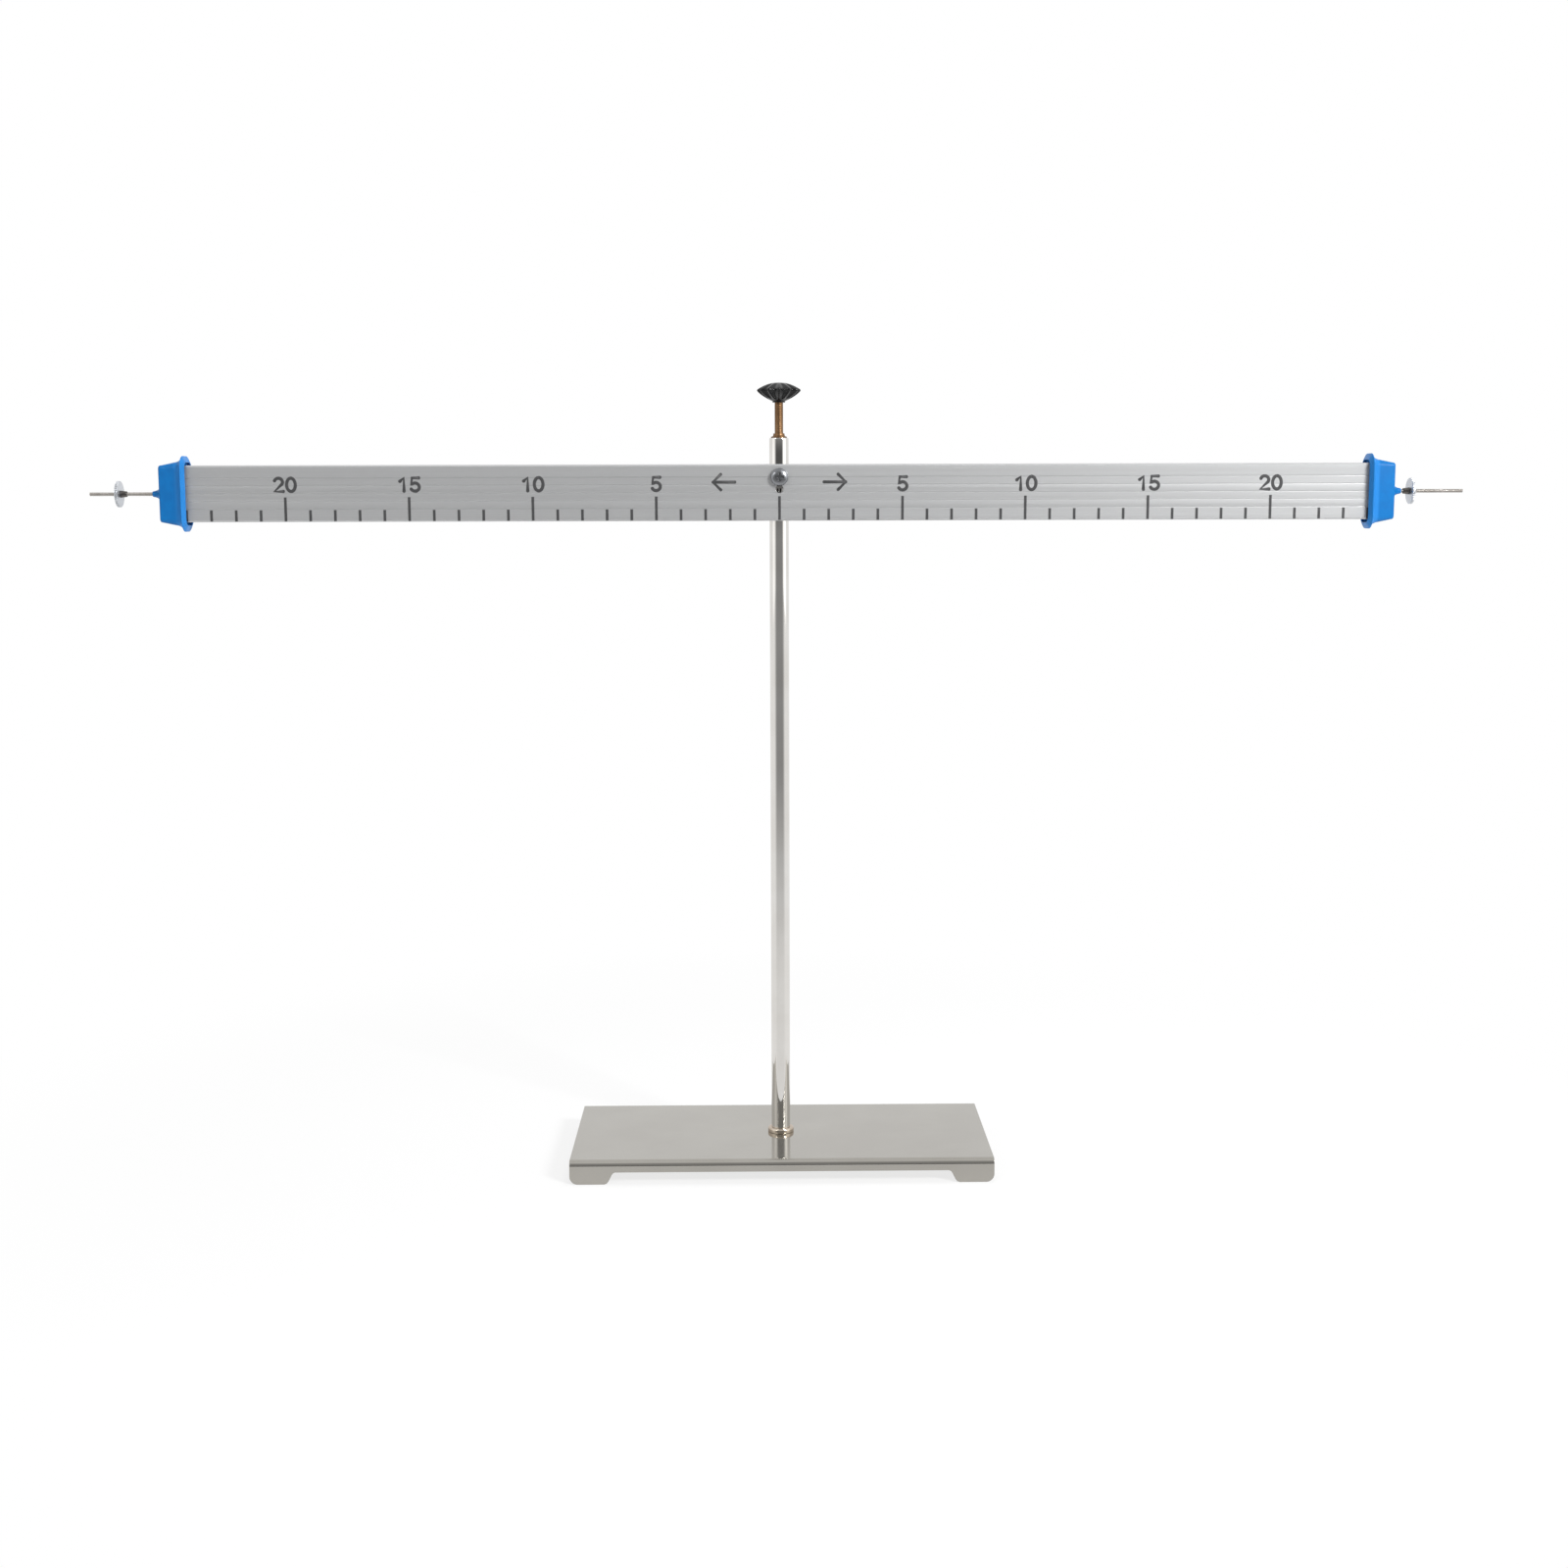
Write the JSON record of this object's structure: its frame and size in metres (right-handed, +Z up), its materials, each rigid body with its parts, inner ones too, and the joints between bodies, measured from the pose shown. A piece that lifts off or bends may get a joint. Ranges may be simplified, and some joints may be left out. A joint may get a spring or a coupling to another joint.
{
  "type": "lever balance",
  "caption": "Graduated aluminium lever beam swinging on a pivot at the top of a stand, trimmed level by a nut on a threaded rod at each end; for showing moments.",
  "frame": {"origin": "on the ground under the post's axis, at the middle of the foot", "axes": "+X along the beam to the right, +Y from the beam to the post's back, +Z up"},
  "size_m": [0.5596, 0.08, 0.3263],
  "materials": {
    "nickel_sheet": "polished nickel plating",
    "nickel_collar": "warm nickel plating",
    "zinc_hardware": "zinc plated",
    "chrome_rod": "mirror bright",
    "brass": "bare, slightly dull",
    "pivot_steel": "dark plated",
    "beam_aluminium": "fine brushed, anodised",
    "blue_plastic": "semi-gloss moulded",
    "rod_steel": "threaded, plated",
    "dark_hub": "turned, darkened",
    "nut_metal": "nickel plated, knurled",
    "black_plastic": "moulded, slight sheen"
  },
  "bodies": {
    "stand": {"base_plate": "nickel_sheet", "foot_collar": "nickel_collar", "base_washer": "zinc_hardware", "base_nut": "zinc_hardware", "post": "chrome_rod", "post_top_bush": "brass", "pivot_screw": "pivot_steel", "pivot_spacer": "zinc_hardware"},
    "lever": {"lever_beam": "beam_aluminium", "pivot_bush": "brass", "left_end_cap": "blue_plastic", "right_end_cap": "blue_plastic", "left_balance_rod": "rod_steel", "right_balance_rod": "rod_steel"},
    "left_nut_slider": {"left_nut_hub": "dark_hub"},
    "left_nut_turner": {"left_nut_disc": "nut_metal"},
    "right_nut_slider": {"right_nut_hub": "dark_hub"},
    "right_nut_turner": {"right_nut_disc": "nut_metal"},
    "thumbscrew_slider": {"thumbscrew_stem": "brass"},
    "thumbscrew_turner": {"thumbscrew_knob": "black_plastic"}
  },
  "joints": [
    {"name": "lever_swing", "type": "hinge", "parent": "stand", "child": "lever", "pos_m": [0, -0.009, 0.288], "axis": [0, 1, 0], "range_deg": [-60, 60]},
    {"name": "left_nut_travel", "type": "slide", "parent": "lever", "child": "left_nut_slider", "axis": [-1, 0, 0], "range_m": [-0.01, 0.01]},
    {"name": "left_nut_turn", "type": "hinge", "parent": "left_nut_slider", "child": "left_nut_turner", "pos_m": [-0.268, -0.009, 0.2818], "axis": [-1, 0, 0], "range_deg": [-9045, 9045]},
    {"name": "right_nut_travel", "type": "slide", "parent": "lever", "child": "right_nut_slider", "axis": [1, 0, 0], "range_m": [-0.0005, 0.019]},
    {"name": "right_nut_turn", "type": "hinge", "parent": "right_nut_slider", "child": "right_nut_turner", "pos_m": [0.258, -0.009, 0.2818], "axis": [1, 0, 0], "range_deg": [-495, 17145]},
    {"name": "thumbscrew_rise", "type": "slide", "parent": "stand", "child": "thumbscrew_slider", "axis": [0, 0, 1], "range_m": [0, 0.008]},
    {"name": "thumbscrew_turn", "type": "hinge", "parent": "thumbscrew_slider", "child": "thumbscrew_turner", "pos_m": [0, 0, 0.3225], "axis": [0, 0, 1], "range_deg": [0, 4160]}
  ],
  "couplings": [
    {"joint": "left_nut_turn", "follows": "left_nut_travel", "rad_per_m": 15708},
    {"joint": "right_nut_turn", "follows": "right_nut_travel", "rad_per_m": 15708},
    {"joint": "thumbscrew_turn", "follows": "thumbscrew_rise", "rad_per_m": 8976}
  ]
}
